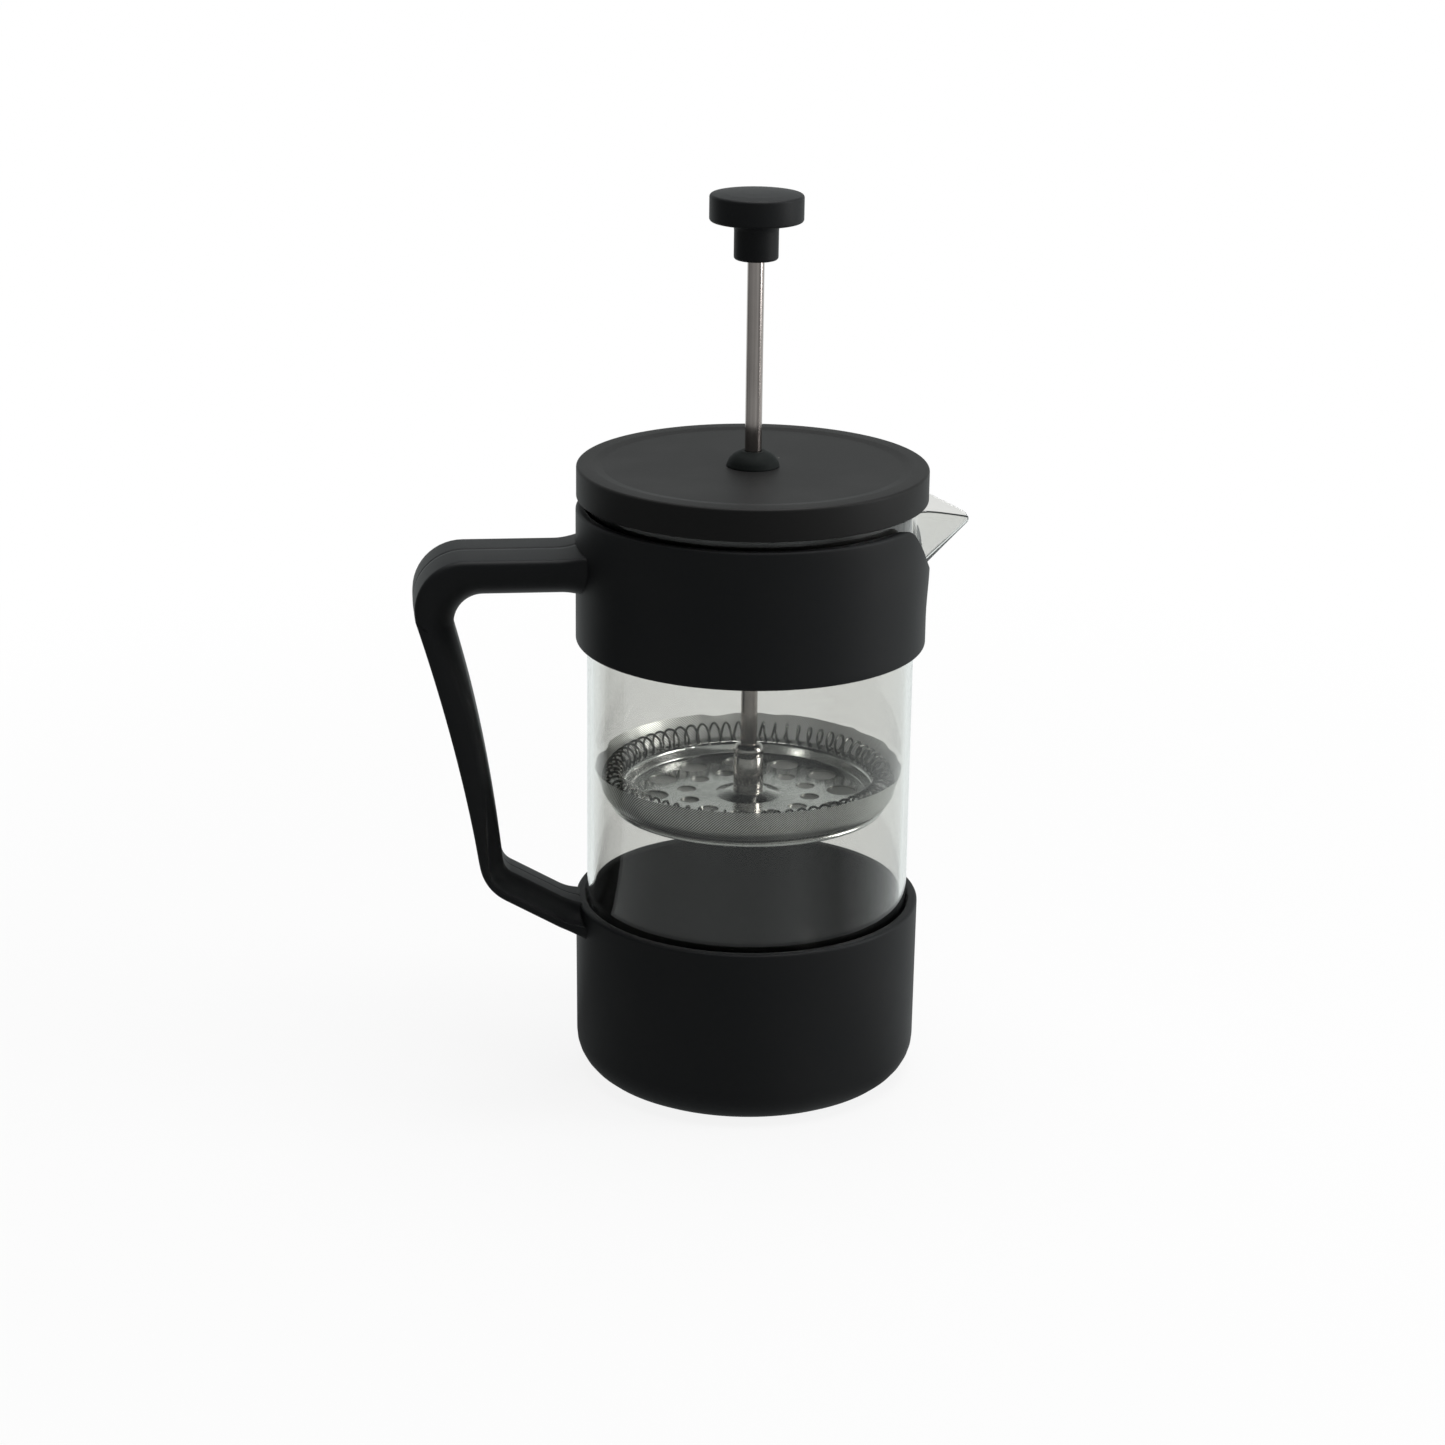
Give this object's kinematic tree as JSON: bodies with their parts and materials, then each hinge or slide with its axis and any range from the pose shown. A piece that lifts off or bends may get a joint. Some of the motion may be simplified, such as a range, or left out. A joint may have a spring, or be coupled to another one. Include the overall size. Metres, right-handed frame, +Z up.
{
  "type": "french press",
  "caption": "French press with a glass beaker in a black plastic frame with handle, a round lid and a sliding filter plunger with a knob",
  "frame": {"origin": "centre of the base's flat underside", "axes": "+Z up along the plunger, -X towards the handle, +X towards the spout, +Y completes a right-handed frame"},
  "size_m": [0.1526, 0.0962, 0.2499],
  "materials": {
    "black_plastic": "fine matt moulded texture",
    "lid_plastic": "fine matt moulded texture",
    "guide_plastic": "smooth satin moulding",
    "beaker_glass": "clear fire-polished borosilicate",
    "polished_steel": "bright polished stainless sheet and rod",
    "spring_steel": "drawn bright wire",
    "mesh_steel": "fine twill weave of bright wire",
    "insert_brass": "turned, hidden in the knob"
  },
  "bodies": {
    "frame": {"base_cup": "black_plastic", "upper_band": "black_plastic", "handle": "black_plastic"},
    "beaker": {"glass_beaker": "beaker_glass"},
    "guide": {"rod_guide": "guide_plastic"},
    "lid": {"lid_shell": "lid_plastic", "lid_strainer_ring": "lid_plastic"},
    "plunger": {"knob": "black_plastic", "knob_insert": "insert_brass", "plunger_rod": "polished_steel", "rod_ferrule": "polished_steel"},
    "filter": {"spiral_plate": "polished_steel", "filter_spring": "spring_steel", "mesh_screen": "mesh_steel", "cross_plate": "polished_steel", "clamp_stud": "polished_steel"}
  },
  "joints": [
    {"name": "beaker_lift", "type": "slide", "parent": "frame", "child": "beaker", "axis": [0, 0, 1], "range_m": [0, 0.165]},
    {"name": "lid_lift", "type": "slide", "parent": "beaker", "child": "guide", "axis": [0, 0, 1], "range_m": [0, 0.15]},
    {"name": "lid_turn", "type": "hinge", "parent": "guide", "child": "lid", "pos_m": [0, 0, 0.1733], "axis": [0, 0, 1], "continuous": true},
    {"name": "plunger_slide", "type": "slide", "parent": "guide", "child": "plunger", "axis": [0, 0, 1], "range_m": [-0.052, 0.066]},
    {"name": "filter_turn", "type": "hinge", "parent": "plunger", "child": "filter", "pos_m": [0, 0, 0.0825], "axis": [0, 0, 1], "continuous": true}
  ]
}
